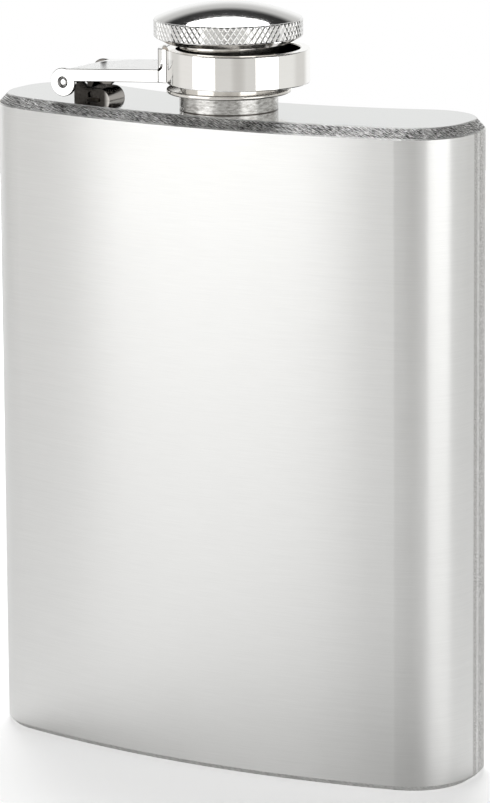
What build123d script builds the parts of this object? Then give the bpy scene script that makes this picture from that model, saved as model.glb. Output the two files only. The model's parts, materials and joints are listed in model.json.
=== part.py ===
from build123d import *
import math
import os

# Stainless steel hip flask with a captive screw cap on a hinged arm.
# X is the width, with the hinge at -X; the convex front faces -Y; Z is up.
# The origin is the bottom centre of the bounding box. All sizes in mm.

os.makedirs("parts", exist_ok=True)

# Body outline: convex front, concave back, rounded ends
body_width = 95.0
body_height = 117.5
neck_margin = 0.18
front_radius = 172.0
back_radius = 100.0
front_corner = 11.5
end_flat = 3.0

# Sheet and welds
wall = 0.5
plate_thickness = 0.8
top_bevel_width = 1.7
top_bevel_height = 1.9
base_bevel = 1.0
seam_width = 0.8

# Neck
neck_x = 1.5
mouth_diameter = 12.4
thread_diameter = 14.8
thread_depth = 0.45
collar_step = 1.32
collar_height = 2.6
neck_height = 9.0
neck_foot = 0.6
neck_foot_thickness = 0.8
relief_length = 0.9
rim_fillet = 0.25
weld_leg = 0.5

# Screw cap
thread_pitch = 1.1
thread_clearance = 0.6
stem_wall = 0.6
cap_foot_gap = 0.4
lip_overlap = 0.05
lip_height = 0.75
lip_fillet = 0.3
head_overhang = 0.47
knurl_height = 3.3
dome_height = 2.8
head_wall = 0.9
base_disc = 0.9
underside_bevel = 0.9
underside_run = 1.7
underside_step = 0.25
head_gap = 1.05
liner_thickness = 1.2
liner_clearance = 0.3
seal_gap = 0.1
boss_clearance = 0.1

# Cap ring
ring_wall = 1.72
ring_play = 0.4
ring_height = 6.05
ring_offset = 1.95
lift_clearance = 0.05
ring_edge = 0.2
ring_bead = 0.45
ring_bead_length = 2.0

# Hinge
hinge_distance = 30.2
pin_height = 3.55
pin_diameter = 1.3
pin_clearance = 0.05
pin_sink = 0.3
pin_sink_depth = 0.3
pin_end_fillet = 0.25
arm_sheet = 0.75
arm_width = 14.4
arm_tilt = 3.3
arm_bottom = 0.15
ear_rise = 0.15
web_gap = 0.3
web_start = 1.2
flange_thickness = 1.4
flange_overhang = 0.4
relief_radius = 1.0
relief_width = 0.25
relief_depth = 1.2
bracket_sheet = 0.8
bracket_ear_wall = 0.7
bracket_width = 5.2
bracket_height = 2.2
bracket_length = 7.0
bracket_hole = 1.0
bracket_hole_distance = 2.9
bracket_hole_height = 0.9
bracket_back = 0.6
bracket_web_start = 2.4
bracket_weld_leg = 0.4

# Radii round the neck and ring axes
mouth_radius = mouth_diameter / 2
thread_radius = thread_diameter / 2
thread_root = thread_radius - thread_depth
collar_radius = thread_radius + collar_step
foot_radius = collar_radius + neck_foot
stem_bore = thread_radius + thread_clearance
stem_radius = stem_bore + stem_wall
ring_inner = stem_radius + ring_offset + ring_play
ring_outer = ring_inner + ring_wall
lip_radius = ring_inner + lip_overlap
head_radius = ring_outer + head_overhang
head_inside = head_radius - head_wall
flange_outer = ring_outer + flange_thickness

# Body outline: deep enough in the middle for the neck and its weld
middle_depth = 2 * (foot_radius + weld_leg + neck_margin + top_bevel_width)
half_width = body_width / 2
front_centre = -middle_depth / 2 + front_radius
back_centre = middle_depth / 2 + back_radius
front_run = half_width - front_corner
front_end = front_centre - math.sqrt((front_radius - front_corner) ** 2 - front_run**2)
back_end = front_end + end_flat
back_drop = back_centre - back_end
back_corner = (back_drop**2 - back_radius**2 + half_width**2) / (2 * (back_radius + half_width))
front_reach = max(middle_depth / 2, head_radius)
back_reach = back_end + back_corner
middle_y = (front_reach - back_reach) / 2
front_sag = front_centre - math.sqrt(front_radius**2 - half_width**2)
back_sag = back_centre - math.sqrt(back_radius**2 - half_width**2)

# Heights
plate_top = body_height
plate_bottom = plate_top - plate_thickness
shell_top = plate_top - top_bevel_height
foot_bottom = plate_bottom - neck_foot_thickness
collar_top = plate_top + collar_height
neck_top = plate_top + neck_height
stem_bottom = collar_top + cap_foot_gap
lip_top = stem_bottom + lip_height
ring_bottom = lip_top + thread_pitch + lift_clearance
ring_top = ring_bottom + ring_height
liner_bottom = neck_top + seal_gap
liner_top = liner_bottom + liner_thickness
boss_bottom = liner_top + seal_gap
head_underside = ring_top + head_gap
knurl_bottom = head_underside + underside_bevel
knurl_top = knurl_bottom + knurl_height
dome_top = knurl_top + dome_height

# Hinge places
pin_x = neck_x - hinge_distance
pin_z = plate_top + pin_height
ring_x = neck_x + ring_offset
pin_radius = pin_diameter / 2
bracket_ear_radius = pin_radius + bracket_ear_wall
arm_top = bracket_ear_radius + web_gap + arm_sheet
ear_radius = arm_top + ear_rise
arm_inner_width = arm_width - 2 * arm_sheet
sink_radius = pin_radius + pin_sink
relief_x = ring_x - math.sqrt(flange_outer**2 - (arm_width / 2) ** 2)
relief_z = pin_z + arm_top + (relief_x - pin_x) * math.tan(math.radians(arm_tilt))

neck_plane = Plane(origin=(neck_x, middle_y, 0), x_dir=(1, 0, 0), z_dir=(0, -1, 0))
ring_plane = Plane(origin=(ring_x, middle_y, 0), x_dir=(1, 0, 0), z_dir=(0, -1, 0))
neck_axis = Axis((neck_x, middle_y, 0), (0, 0, 1))
ring_axis = Axis((ring_x, middle_y, 0), (0, 0, 1))
pin_plane = Plane(origin=(pin_x, middle_y, pin_z), x_dir=(1, 0, 0), z_dir=(0, -1, 0))
arm_plane = pin_plane.rotated((0, -arm_tilt, 0))


def outline(inset, height):
    """The body's kidney outline at a height, moved inwards by inset."""
    with BuildSketch(Plane.XY.offset(height)) as face:
        with BuildLine():
            ThreePointArc((-half_width, front_sag), (0, -middle_depth / 2), (half_width, front_sag))
            Line((half_width, front_sag), (half_width, back_sag))
            ThreePointArc((half_width, back_sag), (0, middle_depth / 2), (-half_width, back_sag))
            Line((-half_width, back_sag), (-half_width, front_sag))
        make_face()
        fillet(face.vertices().group_by(Axis.Y)[0], front_corner)
        fillet(face.vertices().group_by(Axis.Y)[-1], back_corner)
        if inset > 0:
            offset(amount=-inset)
    return face.sketch.moved(Location((0, middle_y, 0)))


def turned(points, plane, axis):
    """A ring turned from a polygon of (radius, height) points."""
    with BuildPart() as piece:
        with BuildSketch(plane):
            with BuildLine():
                Polyline(*points, close=True)
            make_face()
        revolve(axis=axis)
    return piece.part


# Body shell: one strip formed round the outline, with a butt gap for the side seam
with BuildPart() as body_shell:
    add(outline(0, base_bevel))
    extrude(amount=shell_top - base_bevel)
    add(outline(wall, base_bevel))
    extrude(amount=shell_top - base_bevel, mode=Mode.SUBTRACT)
    with BuildSketch(Plane.XY):
        with Locations((half_width, back_end + middle_y)):
            Rectangle(4 * wall, seam_width)
    extrude(amount=body_height, mode=Mode.SUBTRACT)
body_shell.part.label = "body_shell"
export_step(body_shell.part, "parts/body_shell.step")

# Side seam weld: the bead that fills the butt gap, ground flush
with BuildPart() as side_seam_weld:
    add(outline(0, base_bevel))
    extrude(amount=shell_top - base_bevel)
    add(outline(wall, base_bevel))
    extrude(amount=shell_top - base_bevel, mode=Mode.SUBTRACT)
    with BuildSketch(Plane.XY):
        with Locations((half_width, back_end + middle_y)):
            Rectangle(4 * wall, seam_width)
    extrude(amount=body_height, mode=Mode.INTERSECT)
side_seam_weld.part.label = "side_seam_weld"
export_step(side_seam_weld.part, "parts/side_seam_weld.step")

# Top plate: flat sheet with the neck hole
with BuildPart() as top_plate:
    add(outline(top_bevel_width, plate_bottom))
    extrude(amount=plate_thickness)
    with BuildSketch(Plane.XY.offset(plate_bottom)):
        with Locations((neck_x, middle_y)):
            Circle(collar_radius)
    extrude(amount=plate_thickness, mode=Mode.SUBTRACT)
top_plate.part.label = "top_plate"
export_step(top_plate.part, "parts/top_plate.step")

# Top rim weld: joins shell and plate, ground to a bevel all round
with BuildPart() as top_rim_weld:
    add(outline(0, shell_top))
    add(outline(top_bevel_width, plate_top))
    loft(ruled=True)
    add(outline(top_bevel_width, plate_bottom))
    extrude(amount=plate_thickness, mode=Mode.SUBTRACT)
    add(outline(wall, shell_top))
    add(outline(top_bevel_width, plate_bottom))
    loft(ruled=True, mode=Mode.SUBTRACT)
top_rim_weld.part.label = "top_rim_weld"
export_step(top_rim_weld.part, "parts/top_rim_weld.step")

# Base plate: flat sheet that the flask stands on
with BuildPart() as base_plate:
    add(outline(base_bevel, 0))
    extrude(amount=plate_thickness)
base_plate.part.label = "base_plate"
export_step(base_plate.part, "parts/base_plate.step")

# Base rim weld: joins shell and base plate, ground to a small bevel
with BuildPart() as base_rim_weld:
    add(outline(base_bevel, 0))
    add(outline(0, base_bevel))
    loft(ruled=True)
    add(outline(base_bevel, 0))
    extrude(amount=base_bevel, mode=Mode.SUBTRACT)
base_rim_weld.part.label = "base_rim_weld"
export_step(base_rim_weld.part, "parts/base_rim_weld.step")

# Neck: turned tube with a thread relief and the thread, open into the flask
with BuildPart() as neck:
    with BuildSketch(neck_plane):
        with BuildLine():
            Polyline(
                (mouth_radius, foot_bottom),
                (thread_root, foot_bottom),
                (thread_root, collar_top + relief_length),
                (thread_radius, collar_top + relief_length + thread_depth),
                (thread_radius, neck_top),
                (mouth_radius, neck_top),
                close=True,
            )
        make_face()
    revolve(axis=neck_axis)
    fillet(neck.faces().sort_by(Axis.Z)[-1].edges(), rim_fillet)
neck.part.label = "neck"
export_step(neck.part, "parts/neck.step")

# Neck collar: sleeve pressed over the neck, with a foot that bears under the top plate
neck_collar = turned(
    [
        (thread_root, foot_bottom),
        (foot_radius, foot_bottom),
        (foot_radius, plate_bottom),
        (collar_radius, plate_bottom),
        (collar_radius, collar_top),
        (thread_root, collar_top),
    ],
    neck_plane,
    neck_axis,
)
neck_collar.label = "neck_collar"
export_step(neck_collar, "parts/neck_collar.step")

# Neck weld: fillet bead round the collar's foot, inside the flask
neck_weld = turned(
    [
        (foot_radius, foot_bottom),
        (foot_radius + weld_leg, plate_bottom),
        (foot_radius, plate_bottom),
    ],
    neck_plane,
    neck_axis,
)
neck_weld.label = "neck_weld"
export_step(neck_weld, "parts/neck_weld.step")

# Hinge bracket: an upturned channel with two ears for the pin and an arched far end
with BuildPart() as hinge_bracket:
    with BuildSketch(pin_plane):
        with BuildLine():
            Polyline(
                (bracket_length, -pin_height),
                (-bracket_back, -pin_height),
                (-bracket_back, 0),
                (bracket_back, 0),
                (bracket_web_start, bracket_height - pin_height),
                (bracket_length - bracket_height, bracket_height - pin_height),
            )
            RadiusArc(
                (bracket_length - bracket_height, bracket_height - pin_height),
                (bracket_length, -pin_height),
                bracket_height,
            )
        make_face()
        Circle(bracket_ear_radius)
    extrude(amount=bracket_width / 2, both=True)
    with BuildSketch(pin_plane):
        with BuildLine():
            Polyline(
                (bracket_length - bracket_sheet, -pin_height),
                (-bracket_length, -pin_height),
                (-bracket_length, pin_height),
                (bracket_web_start, pin_height),
                (bracket_web_start, bracket_height - bracket_sheet - pin_height),
                (bracket_length - bracket_height, bracket_height - bracket_sheet - pin_height),
            )
            RadiusArc(
                (bracket_length - bracket_height, bracket_height - bracket_sheet - pin_height),
                (bracket_length - bracket_sheet, -pin_height),
                bracket_height - bracket_sheet,
            )
        make_face()
    extrude(amount=bracket_width / 2 - bracket_sheet, both=True, mode=Mode.SUBTRACT)
    with BuildSketch(pin_plane):
        Circle(pin_radius)
        with Locations((bracket_hole_distance, bracket_hole_height - pin_height)):
            Circle(bracket_hole / 2)
    extrude(amount=bracket_width, both=True, mode=Mode.SUBTRACT)
hinge_bracket.part.label = "hinge_bracket"
export_step(hinge_bracket.part, "parts/hinge_bracket.step")

# Bracket welds: a small bead along the foot of each side of the bracket
with BuildPart() as bracket_welds:
    for side in (1, -1):
        foot = side * bracket_width / 2
        with BuildSketch(Plane.YZ.offset(pin_x + bracket_web_start)):
            with BuildLine():
                Polyline(
                    (middle_y + foot, plate_top),
                    (middle_y + foot + side * bracket_weld_leg, plate_top),
                    (middle_y + foot, plate_top + bracket_weld_leg),
                    close=True,
                )
            make_face()
    extrude(amount=bracket_length - bracket_height - bracket_web_start)
bracket_welds.part.label = "bracket_welds"
export_step(bracket_welds.part, "parts/bracket_welds.step")

# Hinge pin: plain and round-ended, pressed in the bracket, its ends just inside the arm's faces
with BuildPart() as hinge_pin:
    with BuildSketch(pin_plane):
        Circle(pin_radius)
    extrude(amount=arm_width / 2 - pin_sink_depth / 2, both=True)
    fillet(hinge_pin.edges().filter_by(GeomType.CIRCLE), pin_end_fillet)
hinge_pin.part.label = "hinge_pin"
export_step(hinge_pin.part, "parts/hinge_pin.step")

# Hinge arm: a folded channel whose end is a flange that follows the ring,
# with a curved bend relief at each corner between the two
with BuildPart() as hinge_arm:
    with BuildSketch(arm_plane):
        Circle(ear_radius)
        with BuildLine():
            Polyline(
                (0, arm_bottom),
                (hinge_distance, arm_bottom),
                (hinge_distance, arm_top),
                (0, arm_top),
                close=True,
            )
        make_face()
    extrude(amount=arm_width / 2, both=True)
    with BuildSketch(arm_plane):
        with BuildLine():
            Polyline(
                (-hinge_distance, -ear_radius),
                (hinge_distance, -ear_radius),
                (hinge_distance, arm_top - arm_sheet),
                (web_start, arm_top - arm_sheet),
                (web_start, 2 * ear_radius),
                (-hinge_distance, 2 * ear_radius),
                close=True,
            )
        make_face()
    extrude(amount=arm_inner_width / 2, both=True, mode=Mode.SUBTRACT)
    with BuildSketch(Plane.XY.offset(plate_top)):
        with Locations((ring_x, middle_y)):
            Circle(flange_outer)
    extrude(amount=hinge_distance, mode=Mode.SUBTRACT)
    with BuildSketch(Plane.XY.offset(ring_bottom)):
        with Locations((ring_x, middle_y)):
            Circle(flange_outer)
            Circle(ring_outer, mode=Mode.SUBTRACT)
            Rectangle(
                2 * flange_outer,
                arm_width + 2 * flange_overhang,
                align=(Align.MAX, Align.CENTER),
                mode=Mode.INTERSECT,
            )
    extrude(amount=ring_height)
    for side in (1, -1):
        with BuildSketch(Plane.XZ.offset(-middle_y + side * (arm_width / 2 + flange_overhang))):
            with BuildLine():
                CenterArc((relief_x, relief_z + relief_radius), relief_radius, -90, 90)
            trace(line_width=relief_width)
        extrude(amount=-side * relief_depth, mode=Mode.SUBTRACT)
        with BuildSketch(arm_plane.offset(side * arm_width / 2)):
            Circle(sink_radius)
        extrude(amount=-side * pin_sink_depth, mode=Mode.SUBTRACT)
    with BuildSketch(arm_plane):
        Circle(pin_radius + pin_clearance)
    extrude(amount=arm_width, both=True, mode=Mode.SUBTRACT)
hinge_arm.part.label = "hinge_arm"
export_step(hinge_arm.part, "parts/hinge_arm.step")

# Cap ring: a plain band, welded to the arm's flange
with BuildPart() as cap_ring:
    with BuildSketch(Plane.XY.offset(ring_bottom)):
        with Locations((ring_x, middle_y)):
            Circle(ring_outer)
            Circle(ring_inner, mode=Mode.SUBTRACT)
    extrude(amount=ring_height)
    fillet(cap_ring.edges().group_by(Axis.Z)[-1], ring_edge)
    fillet(cap_ring.edges().group_by(Axis.Z)[0], ring_edge)
cap_ring.part.label = "cap_ring"
export_step(cap_ring.part, "parts/cap_ring.step")

# Ring welds: a bead on top of the joint, at each end of the flange
with BuildPart() as ring_welds:
    with BuildSketch(ring_plane):
        with Locations((ring_outer + ring_edge, ring_top)):
            Circle(ring_bead)
    revolve(axis=ring_axis)
    with BuildSketch(Plane.XY.offset(ring_top)):
        with Locations((ring_x, middle_y + arm_width / 2), (ring_x, middle_y - arm_width / 2)):
            Rectangle(2 * flange_outer, ring_bead_length, align=(Align.MAX, Align.CENTER))
    extrude(amount=ring_height, mode=Mode.INTERSECT)
ring_welds.part.label = "ring_welds"
export_step(ring_welds.part, "parts/ring_welds.step")

# Cap head: a domed shell with a straight rim for the knurl
with BuildPart() as cap_head:
    with BuildSketch(neck_plane):
        with BuildLine():
            TangentArc((0, dome_top), (head_radius, knurl_top), tangent=(1, 0))
            Polyline(
                (head_radius, knurl_top),
                (head_radius, knurl_bottom),
                (head_inside, knurl_bottom),
                (head_inside, knurl_top - head_wall),
            )
            TangentArc(
                (0, dome_top - head_wall),
                (head_inside, knurl_top - head_wall),
                tangent=(1, 0),
            )
            Line((0, dome_top - head_wall), (0, dome_top))
        make_face()
    revolve(axis=neck_axis)
cap_head.part.label = "cap_head"
export_step(cap_head.part, "parts/cap_head.step")

# Cap base: closes the head from below, with a bevelled rim and a boss inside the stem
cap_base = turned(
    [
        (0, boss_bottom),
        (stem_bore - boss_clearance, boss_bottom),
        (stem_bore - boss_clearance, head_underside),
        (head_radius - underside_step - underside_run, head_underside),
        (head_radius - underside_step, knurl_bottom),
        (head_inside, knurl_bottom),
        (head_inside, knurl_bottom + base_disc),
        (0, knurl_bottom + base_disc),
    ],
    neck_plane,
    neck_axis,
)
cap_base.label = "cap_base"
export_step(cap_base, "parts/cap_base.step")

# Cap stem: the tube that screws on the neck, inside the ring
cap_stem = turned(
    [
        (stem_bore, stem_bottom),
        (stem_radius, stem_bottom),
        (stem_radius, head_underside),
        (stem_bore, head_underside),
    ],
    neck_plane,
    neck_axis,
)
cap_stem.label = "cap_stem"
export_step(cap_stem, "parts/cap_stem.step")

# Cap lip: the flared foot of the stem, wider than the ring's bore, so the cap stays in the ring
with BuildPart() as cap_lip:
    with BuildSketch(Plane.XY.offset(stem_bottom)):
        with Locations((neck_x, middle_y)):
            Circle(lip_radius)
            Circle(stem_radius, mode=Mode.SUBTRACT)
    extrude(amount=lip_height)
    fillet(cap_lip.edges().filter_by(GeomType.CIRCLE).sort_by(SortBy.RADIUS)[-2:], lip_fillet)
cap_lip.part.label = "cap_lip"
export_step(cap_lip.part, "parts/cap_lip.step")

# Cap liner: the sealing disc over the neck's rim, free to turn inside the stem
with BuildPart() as cap_liner:
    with BuildSketch(Plane.XY.offset(liner_bottom)):
        with Locations((neck_x, middle_y)):
            Circle(stem_bore - liner_clearance)
    extrude(amount=liner_thickness)
    fillet(cap_liner.edges(), rim_fillet)
cap_liner.part.label = "cap_liner"
export_step(cap_liner.part, "parts/cap_liner.step")
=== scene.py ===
import json
import math
import bpy
from mathutils import Matrix, Vector

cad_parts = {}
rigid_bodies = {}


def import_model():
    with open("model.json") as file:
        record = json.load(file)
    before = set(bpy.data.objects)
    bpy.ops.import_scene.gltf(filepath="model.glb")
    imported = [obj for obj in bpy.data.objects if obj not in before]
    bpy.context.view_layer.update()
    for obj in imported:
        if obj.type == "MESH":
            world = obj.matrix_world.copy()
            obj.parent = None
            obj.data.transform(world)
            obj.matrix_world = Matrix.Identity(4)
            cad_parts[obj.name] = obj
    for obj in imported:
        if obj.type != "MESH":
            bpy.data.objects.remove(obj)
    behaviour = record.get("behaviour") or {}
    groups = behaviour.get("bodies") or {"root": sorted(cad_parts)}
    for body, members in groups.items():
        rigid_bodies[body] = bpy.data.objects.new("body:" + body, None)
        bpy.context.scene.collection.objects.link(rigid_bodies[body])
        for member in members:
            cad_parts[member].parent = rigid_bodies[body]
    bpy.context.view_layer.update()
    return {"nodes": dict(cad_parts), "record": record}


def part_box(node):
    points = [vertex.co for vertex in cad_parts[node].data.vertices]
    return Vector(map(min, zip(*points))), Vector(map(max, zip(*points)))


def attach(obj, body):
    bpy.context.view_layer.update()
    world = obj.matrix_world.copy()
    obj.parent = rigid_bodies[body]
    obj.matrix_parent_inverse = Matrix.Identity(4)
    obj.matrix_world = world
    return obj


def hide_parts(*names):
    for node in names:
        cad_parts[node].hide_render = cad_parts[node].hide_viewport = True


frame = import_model()
mm = 0.001

# ---------------------------------------------------------------- camera
# A long lens a little above the flask, turned towards the end with the side
# seam, so that the convex front, the top plate and the narrow end all show.
camera_azimuth = 31.0
camera_elevation = 12.73
camera_pitch = 10.325
camera_roll = math.radians(-0.462)
camera_distance = 792.5 * mm
aim_height = 60 * mm
long_side_focal = 5.518
liner_low, liner_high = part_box("cap_liner")
camera_target = Vector((0, (liner_low.y + liner_high.y) / 2, aim_height))


def direction(azimuth, elevation):
    """The direction at an azimuth from the front (-Y) towards +X and an elevation, in degrees."""
    a, e = math.radians(azimuth), math.radians(elevation)
    return Vector((math.sin(a) * math.cos(e), -math.cos(a) * math.cos(e), math.sin(e)))


look = -direction(camera_azimuth, camera_pitch)
level = direction(camera_azimuth + 90, 0)
upright = level.cross(look)
right = level * math.cos(camera_roll) + upright * math.sin(camera_roll)
up = upright * math.cos(camera_roll) - level * math.sin(camera_roll)

camera = bpy.data.objects.new("camera", bpy.data.cameras.new("camera"))
bpy.context.scene.collection.objects.link(camera)
camera.matrix_world = Matrix.LocRotScale(
    camera_target + direction(camera_azimuth, camera_elevation) * camera_distance,
    Matrix((right, up, -look)).transposed(), None)
camera.data.lens = long_side_focal * camera.data.sensor_width
camera.data.shift_x = 0.0278
camera.data.shift_y = -0.2011
camera.data.clip_start = 10 * mm
bpy.context.scene.camera = camera

# ---------------------------------------------------------------- studio
# A white sweep behind, a dimmer room on the side where the camera stands, a
# dark ceiling, and three softboxes: left front, right, and high at the back.
scene = bpy.context.scene
scene.view_settings.view_transform = "Standard"
behind = camera_azimuth + 180
side_wall = (0.67, 0.665, 0.645)
white = (1.0, 1.0, 1.0)
black = (0.0, 0.0, 0.0)


class Wire:
    """A value in a node tree: an output socket that Python's operators work on."""

    def __init__(self, nodes, socket):
        self.nodes = nodes
        self.socket = socket

    def __add__(self, other):
        return self.nodes.maths("ADD", self, other)

    def __radd__(self, other):
        return self.nodes.maths("ADD", other, self)

    def __sub__(self, other):
        return self.nodes.maths("SUBTRACT", self, other)

    def __rsub__(self, other):
        return self.nodes.maths("SUBTRACT", other, self)

    def __mul__(self, other):
        return self.nodes.maths("MULTIPLY", self, other)

    def __rmul__(self, other):
        return self.nodes.maths("MULTIPLY", other, self)

    def __neg__(self):
        return -1 * self

    def step(self, low, high):
        """A smooth step from 0 at low to 1 at high."""
        return self.nodes.node("ShaderNodeMapRange", {"interpolation_type": "SMOOTHSTEP"},
                               self, low, high)

    def within(self, low, high, soft):
        """1 between low and high, falling to 0 over soft on each side."""
        away = self.nodes.maths("ABSOLUTE", self - (low + high) / 2)
        return away.step((high - low) / 2 + soft, (high - low) / 2)


class Nodes:
    """A node tree under construction."""

    def __init__(self, owner):
        owner.use_nodes = True
        self.tree = owner.node_tree

    def give(self, socket, value):
        """Sets a socket to a value, or links it to a wire."""
        if isinstance(value, Wire):
            self.tree.links.new(value.socket, socket)
        elif isinstance(value, tuple) and socket.type == "RGBA":
            socket.default_value = (*value, 1)
        else:
            socket.default_value = value

    def node(self, kind, settings, *values, output=0, **named):
        """A node of that kind: its settings first, then the values or wires of its sockets."""
        made = self.tree.nodes.new(kind)
        for setting, value in settings.items():
            if setting == "stops":
                for _ in value[2:]:
                    made.color_ramp.elements.new(0.5)
                for stop, (position, colour) in zip(made.color_ramp.elements, value):
                    stop.position = position
                    stop.color = (*colour, 1)
            else:
                setattr(made, setting, value)
        for key, value in [*enumerate(values), *named.items()]:
            self.give(made.inputs[key], value)
        return Wire(self, made.outputs[output])

    def maths(self, operation, *values):
        """A Math node."""
        return self.node("ShaderNodeMath", {"operation": operation}, *values)

    def mix(self, share, first, second):
        """Two colours mixed."""
        made = self.tree.nodes.new("ShaderNodeMix")
        made.data_type = "RGBA"
        for socket, value in ((0, share), (6, first), (7, second)):
            self.give(made.inputs[socket], value)
        return Wire(self, made.outputs[2])


def softbox(name, azimuth, elevation, distance, width, height, radiance):
    """A rectangular light aimed at the flask, with the same brightness all over."""
    light = bpy.data.lights.new(name, "AREA")
    light.shape = "RECTANGLE"
    light.size = width
    light.size_y = height
    light.energy = radiance * math.pi * width * height
    box = bpy.data.objects.new(name, light)
    scene.collection.objects.link(box)
    outward = direction(azimuth, elevation)
    box.matrix_world = Matrix.LocRotScale(
        camera_target + outward * distance, outward.to_track_quat("Z", "Y"), None)


softbox("left softbox", azimuth=-26, elevation=13, distance=0.62,
        width=0.47, height=0.80, radiance=1.01)
softbox("right softbox", azimuth=78, elevation=13, distance=0.62,
        width=0.45, height=0.80, radiance=1.03)
softbox("high softbox", azimuth=behind, elevation=63, distance=1.0,
        width=0.42, height=0.57, radiance=8.8)

scene.world = bpy.data.worlds.new("studio")
room = Nodes(scene.world)
ray = room.node("ShaderNodeTexCoord", {}, output="Generated")
rise = room.node("ShaderNodeSeparateXYZ", {}, ray, output="Z")
walls = side_wall
# Each round patch of wall lies at an azimuth and fades in between the cosines
# of two angles from it; each band of ceiling, between two sines of elevation.
for azimuth, outer, inner, colour in (
        (112, 0.86, 0.97, (0.80, 0.80, 0.78)),
        (-60, 0.90, 0.98, (0.80, 0.79, 0.77)),
        (behind, 0.60, 0.85, (0.98, 0.985, 0.98)),
        (camera_azimuth, 0.96, 0.997, (0.52, 0.51, 0.49))):
    facing = room.node("ShaderNodeVectorMath", {"operation": "DOT_PRODUCT"},
                       ray, direction(azimuth, 0)[:], output="Value")
    walls = room.mix(facing.step(outer, inner), walls, colour)
for low, high, colour in (
        (0.12, 0.40, (0.60, 0.60, 0.59)),
        (0.40, 0.54, (0.03, 0.03, 0.03))):
    walls = room.mix(rise.step(low, high), walls, colour)
around = room.node("ShaderNodeBackground", {}, walls)
sweep = room.node("ShaderNodeBackground", {}, white)
camera_ray = room.node("ShaderNodeLightPath", {}, output="Is Camera Ray")
room.give(room.tree.nodes["World Output"].inputs["Surface"],
          room.node("ShaderNodeMixShader", {}, camera_ray, around, sweep))

# ---------------------------------------------------------------- floor
# A round sheet of matt white paper that the flask stands on. It glows a little
# near the flask and fully further out, so that it fades into the sweep.
floor_radius = 0.64
glow_near = 0.40
glow_from, glow_full = 0.10, 0.40
paper_tones = (0.90, 0.90, 0.90), (0.93, 0.93, 0.93)


class Finish(Nodes):
    """A material under construction, with one principled shader."""

    def __init__(self, name, metallic=1.0, **constants):
        self.material = bpy.data.materials.new(name)
        super().__init__(self.material)
        self.shader = self.tree.nodes["Principled BSDF"]
        self.use(Metallic=metallic, **constants)
        self.place = self.node("ShaderNodeTexCoord", {}, output="Object")

    def along(self, axis, of=None):
        """One coordinate of the place on the piece in metres, or of another vector."""
        return self.node("ShaderNodeSeparateXYZ", {}, of or self.place, output=axis)

    def noise(self, size, detail=2.0, stretch=(1, 1, 1), at=None, roughness=0.5):
        """Cloudy noise of about that size in metres, drawn out by stretch along each axis."""
        spread = self.node("ShaderNodeVectorMath", {"operation": "MULTIPLY"}, at or self.place,
                           [1 / (size * share) for share in stretch])
        return self.node("ShaderNodeTexNoise", {}, Vector=spread, Scale=1.0, Detail=detail,
                         Roughness=roughness)

    def bump(self, height, distance, strength):
        """A normal tilted by a height of 0 to 1 times distance in metres."""
        return self.node("ShaderNodeBump", {}, Height=height, Distance=distance,
                         Strength=strength)

    def use(self, **sockets):
        """Feeds the shader's own sockets."""
        for socket, value in sockets.items():
            self.give(self.shader.inputs[socket.replace("_", " ")], value)
        return self.material

    def clouded(self, cloud, tones, roughness, dulled):
        """Two tones mixed by a cloud, where the surface is rougher by up to dulled."""
        return self.use(Base_Color=self.mix(cloud, *tones), Roughness=roughness + dulled * cloud)


def dress(material, *nodes):
    """Gives CAD pieces their finish."""
    for node in nodes:
        mesh = frame["nodes"][node].data
        mesh.materials.clear()
        mesh.materials.append(material)


def deselect():
    """Nothing selected, no active object."""
    for each in bpy.context.view_layer.objects:
        each.select_set(False)
    bpy.context.view_layer.objects.active = None


deselect()
bpy.ops.mesh.primitive_circle_add(vertices=96, radius=floor_radius, fill_type="NGON",
                                  location=(0, 0, 0))
floor = bpy.context.object
floor.name = "floor"
paper = Finish("white paper", metallic=0.0, Roughness=0.9, Emission_Strength=1.0)
seen = paper.node("ShaderNodeLightPath", {}, output="Is Camera Ray")
away = paper.node("ShaderNodeVectorMath", {"operation": "LENGTH"}, paper.place, output="Value")
glow = seen * (glow_near + (1 - glow_near) * away.step(glow_from, glow_full))
floor.data.materials.append(paper.use(
    Base_Color=paper.mix(paper.noise(2 * mm), *paper_tones),
    Emission_Color=paper.mix(glow, black, white)))

# ---------------------------------------------------------------- body shell
# One strip of thin stainless sheet rolled to the kidney shape, butt-welded on
# the narrow end, then brushed round the body so that the grain lies level. A
# band along the seam is left dull and pitted by the weld's grinding.
seam_low, seam_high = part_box("side_seam_weld")
seam_y = (seam_low.y + seam_high.y) / 2
band_front = 1.4 * mm
band_back = 4.6 * mm
band_fade = 0.4 * mm
end_fade = 0.5 * mm
band_cover = 0.85
pit_depth = 6
grain_relief = 0.004 * mm
clean_tones = (0.82, 0.82, 0.81), (0.91, 0.91, 0.90)
pitted_tones = (0.34, 0.33, 0.32), (0.84, 0.83, 0.82)

brushed = Finish("brushed body", Anisotropic=0.75, Anisotropic_Rotation=0.25)
streaks = brushed.noise(0.12 * mm, detail=3.0, stretch=(60, 60, 1))
hairlines = brushed.noise(0.05 * mm, stretch=(40, 40, 1))
cloud = brushed.noise(12 * mm)
pits = brushed.noise(0.22 * mm, detail=3.0, roughness=0.7)
on_end = brushed.along("X").step(seam_low.x - end_fade, seam_low.x)
by_seam = on_end * brushed.along("Y").within(seam_y - band_front, seam_y + band_back, band_fade)
clean = brushed.mix(streaks, *clean_tones)
pitted = brushed.mix(pits.step(0.42, 0.58), *pitted_tones)
dress(brushed.use(
    Base_Color=brushed.mix(by_seam * band_cover, clean, pitted),
    Roughness=0.33 + 0.08 * (cloud - 0.5) + 0.06 * (hairlines - 0.5) + 0.10 * by_seam,
    Normal=brushed.bump(streaks * 0.6 + hairlines * 0.4 + by_seam * pits * pit_depth,
                        grain_relief, strength=0.5),
), "body_shell")

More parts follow.
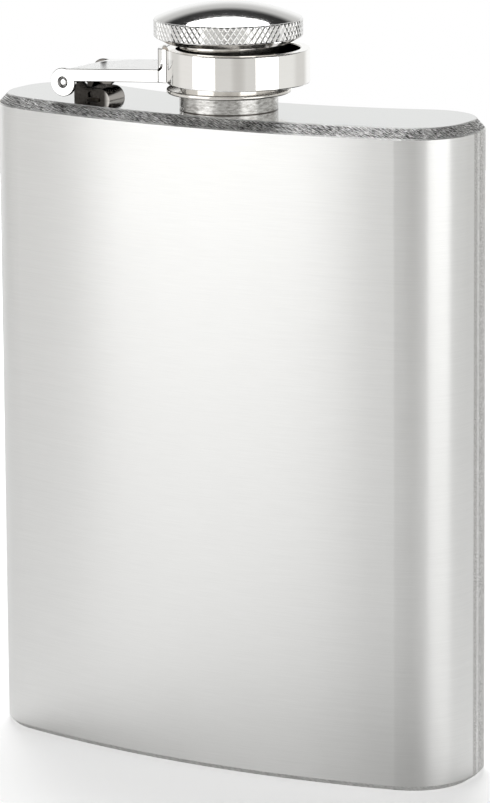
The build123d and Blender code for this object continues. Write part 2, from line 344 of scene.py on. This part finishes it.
# ---------------------------------------------------------------- seam and rim welds
# Beads that join the strip's ends and the plates to the shell, ground flush
# with a coarse belt, which leaves slanting scratches across the bevelled rim.
# The bright line along the rim's lower and upper edges is a painted highlight
# for the light their small roundings catch; these lines are also a little smoother.
rim_low, rim_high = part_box("top_rim_weld")
belt_slant = math.radians(17)
lower_highlight_end, lower_highlight_start = 0.18 * mm, 0.32 * mm
upper_highlight_start, upper_highlight_end = 0.22 * mm, 0.10 * mm
scratch_contrast = 9.0
patch_contrast = 0.9
middle_tone = 0.38
scratch_depth = 0.12 * mm
scratch_tones = (
    (0.0, (0.05, 0.049, 0.047)), (0.35, (0.38, 0.377, 0.37)),
    (0.7, (0.80, 0.797, 0.79)), (1.0, (0.97, 0.97, 0.965)))
painted_highlight_tone = (0.95, 0.95, 0.94)
highlight_cover = 0.7

ground = Finish("ground weld")
sideways = ground.along("X") + ground.along("Y")
upward = ground.along("Z")
belt = ground.node("ShaderNodeCombineXYZ", {},
                   sideways * math.cos(belt_slant) - upward * math.sin(belt_slant),
                   sideways * math.sin(belt_slant) + upward * math.cos(belt_slant))
gouges = ground.noise(0.12 * mm, detail=4.0, stretch=(10, 1, 1), at=belt, roughness=0.7)
scratches = ground.noise(0.07 * mm, stretch=(14, 1, 1), at=belt)
patches = ground.noise(2.2 * mm, detail=3.0, stretch=(2, 2, 1))
marks = gouges * 0.65 + scratches * 0.35
# The rim's lower and upper edge lines are painted highlights, mixed in near-white.
lower_highlight = 1 - upward.step(rim_low.z + lower_highlight_end, rim_low.z + lower_highlight_start)
upper_highlight = upward.step(rim_high.z - upper_highlight_start, rim_high.z - upper_highlight_end)
edges = lower_highlight + upper_highlight
tone = (marks - 0.5) * scratch_contrast + middle_tone + (patches - 0.5) * patch_contrast
scratched = ground.node("ShaderNodeValToRGB", {"stops": scratch_tones}, tone)
dress(ground.use(
    Base_Color=ground.mix(edges * highlight_cover, scratched, painted_highlight_tone),
    Roughness=0.50 - 0.15 * edges,
    Normal=ground.bump(marks, scratch_depth, strength=0.8),
), "side_seam_weld", "top_rim_weld", "base_rim_weld", "neck_weld")

# ---------------------------------------------------------------- plates
# Flat mirror-polished stainless sheet, top and bottom, welded round its edge
# to the shell; the top one has a hole for the neck.
plate_tones = (0.635, 0.64, 0.635), (0.67, 0.675, 0.665)
mirror = Finish("polished plate")
wear = mirror.noise(0.4 * mm, detail=3.0, stretch=(6, 1, 1))
dress(mirror.clouded(wear, plate_tones, roughness=0.06, dulled=0.03), "top_plate", "base_plate")

# ---------------------------------------------------------------- neck
# A tube turned from bar with a screw thread cut on it, and a collar with a
# foot pressed over it, left with a satin finish below the cap.
neck_low, neck_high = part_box("neck")
neck_x = (neck_low.x + neck_high.x) / 2
neck_y = (neck_low.y + neck_high.y) / 2
neck_sides = 72
mouth, = (mount for mount in frame["record"]["mounts"] if mount["name"] == "mouth")
mouth_radius = mouth["dims"]["r_mm"] * mm
rim_round = 0.25 * mm
crest_radius = (neck_high.x - neck_low.x) / 2
thread_depth = 0.45 * mm
thread_pitch = 1.1 * mm
thread_turns = 4.5
thread_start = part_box("neck_collar")[1].z + 0.9 * mm
root_radius = crest_radius - thread_depth
ridge_root = 0.75 * thread_pitch
ridge_crest = 0.35
ridge_steps = 48
smooth_angle = math.radians(30)
touching = 0.001 * mm


def select(piece, mode, wanted):
    """Edit mode on a piece, with the vertices, edges or faces that are wanted selected."""
    bpy.ops.object.mode_set(mode="EDIT")
    bpy.ops.mesh.select_mode(type=mode)
    bpy.ops.mesh.select_all(action="DESELECT")
    bpy.ops.object.mode_set(mode="OBJECT")
    mesh = piece.data
    for item in {"VERT": mesh.vertices, "EDGE": mesh.edges, "FACE": mesh.polygons}[mode]:
        item.select = wanted(item)
    bpy.ops.object.mode_set(mode="EDIT")


def turn(name, sides, x, y, profile, fill="NOTHING"):
    """A turned piece: a circle at the first (radius, height), extruded through the rest."""
    deselect()
    (radius, height), *steps = profile
    bpy.ops.mesh.primitive_circle_add(vertices=sides, radius=radius, location=(x, y, height),
                                      fill_type=fill)
    piece = bpy.context.object
    piece.name = name
    bpy.ops.object.transform_apply()
    points = piece.data.vertices
    centre = Vector((x, y, height))
    select(piece, "EDGE", lambda edge: all(
        (points[corner].co - centre).length > radius / 2 for corner in edge.vertices))
    for next_radius, next_height in steps:
        bpy.ops.mesh.extrude_edges_move(
            TRANSFORM_OT_translate={"value": (0, 0, next_height - height)})
        share = next_radius / radius
        bpy.ops.transform.resize(value=(share, share, 1), center_override=(x, y, next_height))
        radius, height = next_radius, next_height
    return piece


def close(piece):
    """Joins what meets, turns the faces outwards, and shades round faces smooth."""
    bpy.ops.mesh.select_all(action="SELECT")
    bpy.ops.mesh.remove_doubles(threshold=touching)
    bpy.ops.mesh.normals_make_consistent(inside=False)
    bpy.ops.object.mode_set(mode="OBJECT")
    bpy.ops.object.shade_smooth_by_angle(angle=smooth_angle)


spout_profile = [(mouth_radius, neck_low.z), (root_radius, neck_low.z),
                 (root_radius, neck_high.z - rim_round), (root_radius - rim_round, neck_high.z),
                 (mouth_radius + rim_round, neck_high.z), (mouth_radius, neck_high.z - rim_round)]
spout = turn("threaded_neck", neck_sides, neck_x, neck_y, spout_profile + spout_profile[:1])
close(spout)

# The thread's ridge: a tapered strip, half of it sunk in the tube, that a
# screw carries round the neck and that is then joined to the tube.
deselect()
bpy.ops.mesh.primitive_plane_add(size=1, location=(root_radius, 0, thread_start),
                                 rotation=(math.radians(90), 0, 0))
ridge = bpy.context.object
ridge.scale = (thread_depth * 2, ridge_root, 1)
bpy.ops.object.transform_apply()
select(ridge, "VERT", lambda vertex: vertex.co.x > root_radius)
bpy.ops.transform.resize(value=(1, 1, ridge_crest),
                         center_override=(crest_radius, 0, thread_start))
bpy.ops.object.mode_set(mode="OBJECT")
screw = ridge.modifiers.new("screw", "SCREW")
screw.angle = math.tau * thread_turns
screw.screw_offset = thread_pitch * thread_turns
screw.steps = screw.render_steps = round(ridge_steps * thread_turns)
ridge.location = (neck_x, neck_y, 0)
bpy.ops.object.modifier_apply(modifier="screw")
bpy.ops.object.transform_apply()
select(ridge, "EDGE", lambda edge: False)
bpy.ops.mesh.select_non_manifold()
bpy.ops.mesh.edge_face_add()
close(ridge)

deselect()
spout.select_set(True)
bpy.context.view_layer.objects.active = spout
union = spout.modifiers.new("union", "BOOLEAN")
union.operation = "UNION"
union.object = ridge
bpy.ops.object.modifier_apply(modifier="union")
bpy.ops.object.shade_smooth_by_angle(angle=smooth_angle)
bpy.data.objects.remove(ridge)

plate_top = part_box("top_plate")[1].z
# A near-black band just above the top plate is painted shade for the crease where neck and collar
# meet the plate.
crease_shade_start, crease_shade_end = 0.05 * mm, 0.22 * mm
painted_crease_tone = (0.05, 0.04, 0.035)
satin_tones = (0.34, 0.33, 0.315), (0.78, 0.775, 0.76)
mottle_contrast = 2.4
turned = Finish("turned neck")
tool_marks = turned.noise(0.08 * mm, stretch=(40, 40, 1))
mottle = turned.noise(0.35 * mm, detail=4.0, stretch=(3, 3, 1))
crease_shade = 1 - turned.along("Z").step(plate_top + crease_shade_start, plate_top + crease_shade_end)
satin = turned.mix((mottle - 0.5) * mottle_contrast + 0.5, *satin_tones)
turned_neck = turned.use(
    Base_Color=turned.mix(crease_shade, satin, painted_crease_tone),
    Roughness=0.16 + 0.12 * mottle,
    Normal=turned.bump(tool_marks, grain_relief, strength=0.5),
)
spout.data.materials.append(turned_neck)
dress(turned_neck, "neck_collar")
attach(spout, "flask")
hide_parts("neck")

# ---------------------------------------------------------------- hinge
# Bracket and arm, pressed from sheet and tumbled so that their sheared edges
# are rounded and duller than the polished faces, and a plain pin. The bracket
# is welded to the top plate and the arm's flange to the cap's ring.
arm_low, arm_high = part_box("hinge_arm")
arm_middle_y = (arm_low.y + arm_high.y) / 2
arm_edge_round = 0.12 * mm
bracket_edge_round = 0.10 * mm
seam_gap = 0.002 * mm
flat_angle = math.radians(1)
sharp_angle = math.radians(50)


def tumbled(node, edge_round, face_finish, edge_finish, body):
    """A copy of a CAD piece of sheet metal with its sharp edges rounded off, in its place."""
    piece = bpy.data.objects.new(f"tumbled_{node}", frame["nodes"][node].data.copy())
    scene.collection.objects.link(piece)
    deselect()
    piece.select_set(True)
    bpy.context.view_layer.objects.active = piece
    piece.data.materials.clear()
    piece.data.materials.append(face_finish)
    piece.data.materials.append(edge_finish)
    select(piece, "FACE", lambda face: True)
    bpy.ops.mesh.remove_doubles(threshold=seam_gap)
    bpy.ops.mesh.dissolve_limited(angle_limit=flat_angle)
    bpy.ops.object.mode_set(mode="OBJECT")
    rounding = piece.modifiers.new("rounding", "BEVEL")
    rounding.width = edge_round
    rounding.segments = 1
    rounding.use_clamp_overlap = False
    rounding.limit_method = "ANGLE"
    rounding.angle_limit = sharp_angle
    rounding.material = 1
    bpy.ops.object.modifier_apply(modifier="rounding")
    bpy.ops.object.shade_smooth_by_angle(angle=smooth_angle)
    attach(piece, body)
    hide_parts(node)


open_tones = (0.90, 0.895, 0.885), (0.96, 0.955, 0.95)
shaded_inside_tones = (0.10, 0.095, 0.09), (0.24, 0.22, 0.20)
edge_shade_tones = (0.06, 0.058, 0.055), (0.26, 0.255, 0.25)
bright = Finish("polished hinge")
smear = bright.noise(1.2 * mm, detail=3.0)
# Faces inside the arm's channel and faces turned down, on the pin too, are painted near-black:
# painted shade where the arm hides them from the light.
normal = bright.node("ShaderNodeTexCoord", {}, output="Normal")
faces_front = (-bright.along("Y", of=normal)).step(0.4, 0.6)
faces_down = (-bright.along("Z", of=normal)).step(0.4, 0.6)
on_back_half = bright.along("Y").step(arm_middle_y - 1 * mm, arm_middle_y + 1 * mm)
shaded_inside = bright.maths("MAXIMUM", faces_front * on_back_half, faces_down)
polished_hinge = bright.use(
    Base_Color=bright.mix(shaded_inside, bright.mix(smear, *open_tones),
                          bright.mix(smear, *shaded_inside_tones)),
    Roughness=0.05 + 0.05 * smear,
)
# The edges' dark tone is painted shade and reflection, standing in for the dark ceiling and
# shadows their roundings mirror; their extra roughness is real.
sheared = Finish("sheared edge")
burr = sheared.noise(0.3 * mm, detail=3.0)
shaded_sheared_edge = sheared.clouded(burr, edge_shade_tones, roughness=0.22, dulled=0.12)
tumbled("hinge_arm", arm_edge_round, polished_hinge, shaded_sheared_edge, "arm")
dress(polished_hinge, "hinge_pin")

# The bracket's near-black tone is painted shade for the shadow under the arm, and its rounded end
# is painted lighter where it turns towards the light. The scale noise only mottles this painted
# tone.
bracket_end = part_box("hinge_bracket")[1].x
end_start, end_full = 1.3 * mm, 0.1 * mm
shaded_bracket_tones = (0.008, 0.007, 0.006), (0.05, 0.046, 0.042)
lit_end_tone = (0.50, 0.48, 0.46)
dark = Finish("dark bracket")
scale = dark.noise(0.5 * mm, detail=3.0)
lit_round_end = dark.along("X").step(bracket_end - end_start, bracket_end - end_full)
dark_bracket = dark.use(
    Base_Color=dark.mix(lit_round_end, dark.mix(scale, *shaded_bracket_tones), lit_end_tone),
    Roughness=0.12 + 0.12 * scale,
)
tumbled("hinge_bracket", bracket_edge_round, dark_bracket, dark_bracket, "flask")

tint_tones = (0.14, 0.11, 0.08), (0.50, 0.46, 0.42)
tinted = Finish("heat-tinted weld")
tint = tinted.noise(0.6 * mm, detail=3.0)
dress(tinted.clouded(tint, tint_tones, roughness=0.25, dulled=0.15), "bracket_welds", "ring_welds")

# ---------------------------------------------------------------- cap ring
# A plain band of mirror-polished tube that holds the cap by its stem, welded
# to the arm's flange.
ring_tones = (0.95, 0.935, 0.915), (0.985, 0.975, 0.96)
band = Finish("polished ring")
wipe = band.noise(0.5 * mm, detail=3.0, stretch=(8, 8, 1))
dress(band.clouded(wipe, ring_tones, roughness=0.03, dulled=0.03), "cap_ring")

# ---------------------------------------------------------------- cap below its head
# Base disc, stem and lip, turned and polished. Their warm tone is a painted
# reflection, mixed in by a haze over all three.
warm_reflection_tones = (0.80, 0.765, 0.72), (0.88, 0.865, 0.84)
polished = Finish("polished cap")
haze = polished.noise(0.7 * mm, detail=3.0, stretch=(3, 3, 1))
dress(polished.clouded(haze, warm_reflection_tones, roughness=0.08, dulled=0.10),
      "cap_base", "cap_stem", "cap_lip")

# ---------------------------------------------------------------- cap head
# Turned from bar as a shallow cup: a polished dome over a straight rim with a
# diamond knurl rolled into it, pressed down over the base disc.
head_low, head_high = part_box("cap_head")
head_x = (head_low.x + head_high.x) / 2
head_y = (head_low.y + head_high.y) / 2
head_radius = (head_high.x - head_low.x) / 2
head_wall = 0.9 * mm
inner_radius = head_radius - head_wall
knurl_height = 3.3 * mm
knurl_edge = 0.12 * mm
knurl_depth = 0.14 * mm
knurl_gap = 0.17 * mm
knurl_cells = 78
knurl_rows = 2
knurl_base = head_radius - knurl_depth
knurl_top = head_low.z + knurl_height
row_height = (knurl_height - 2 * knurl_edge) / knurl_rows
knurl_levels = [head_low.z + knurl_edge + row_height * row for row in range(knurl_rows + 1)]
dome_rings = 14
crown_radius = 0.4 * mm
head_tones = (0.84, 0.835, 0.825), (0.89, 0.885, 0.875)


def dome(edge, top, crown):
    """The (radius, height) steps of a dome from just inside its edge to round its crown."""
    rise = crown - top
    sphere = (edge ** 2 + rise ** 2) / (2 * rise)
    steepest = math.asin(edge / sphere)
    radii = [sphere * math.sin(steepest * (1 - ring / dome_rings))
             for ring in range(1, dome_rings)]
    return [(radius, crown - sphere + math.sqrt(sphere ** 2 - radius ** 2))
            for radius in [*radii, crown_radius]]


inside = dome(inner_radius, knurl_top - head_wall, head_high.z - head_wall)
outside = dome(head_radius - knurl_edge, knurl_top, head_high.z)
head = turn("knurled_cap_head", knurl_cells, head_x, head_y, (
    inside[::-1]
    + [(inner_radius, knurl_top - head_wall), (inner_radius, head_low.z),
       (knurl_base - knurl_edge, head_low.z)]
    + [(knurl_base, level) for level in knurl_levels]
    + [(head_radius - knurl_edge, knurl_top)] + outside), fill="TRIFAN")
bpy.ops.mesh.extrude_edges_move()
bpy.ops.mesh.merge(type="CENTER")
close(head)


def on_rim(corners):
    """Whether these corners all lie on the outside of the knurled rim."""
    places = [head.data.vertices[corner].co - Vector((head_x, head_y, 0)) for corner in corners]
    return all(
        place.xy.length > inner_radius + head_wall / 2
        and knurl_levels[0] - knurl_edge / 2 < place.z < knurl_levels[-1] + knurl_edge / 2
        for place in places)


def grid_line(edge):
    """Whether this edge is a side of one of the rim's squares, and not on its top or bottom."""
    heights = [head.data.vertices[corner].co.z for corner in edge.vertices]
    rows = [level for height in heights for level in knurl_levels
            if abs(height - level) < knurl_edge / 2]
    return on_rim(edge.vertices) and len(rows) == 2 and (
        rows[0] != rows[1] or rows[0] in knurl_levels[1:-1])


# Each square of the rim gets a point in its middle; without the squares' own
# sides the triangles pair up as diamonds, which are then raised one by one.
select(head, "FACE", lambda face: on_rim(face.vertices))
bpy.ops.mesh.poke()
select(head, "EDGE", grid_line)
bpy.ops.mesh.dissolve_edges(use_verts=False)
select(head, "FACE", lambda face: on_rim(face.vertices))
bpy.ops.mesh.inset(thickness=knurl_gap, depth=knurl_depth, use_individual=True)
bpy.ops.object.mode_set(mode="OBJECT")
bpy.ops.object.shade_smooth_by_angle(angle=smooth_angle)

knurled = Finish("knurled cap")
film = knurled.noise(0.9 * mm, detail=3.0)
head.data.materials.append(knurled.clouded(film, head_tones, roughness=0.05, dulled=0.06))
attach(head, "cap")
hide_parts("cap_head")

# ---------------------------------------------------------------- liner
# A disc of soft off-white silicone in the cap's stem, which seals on the
# neck's rim when the cap is screwed down.
liner_tones = (0.78, 0.77, 0.73), (0.85, 0.84, 0.80)
rubber = Finish("sealing liner", metallic=0.0)
dust = rubber.noise(0.3 * mm, detail=3.0)
dress(rubber.clouded(dust, liner_tones, roughness=0.45, dulled=0.1), "cap_liner")
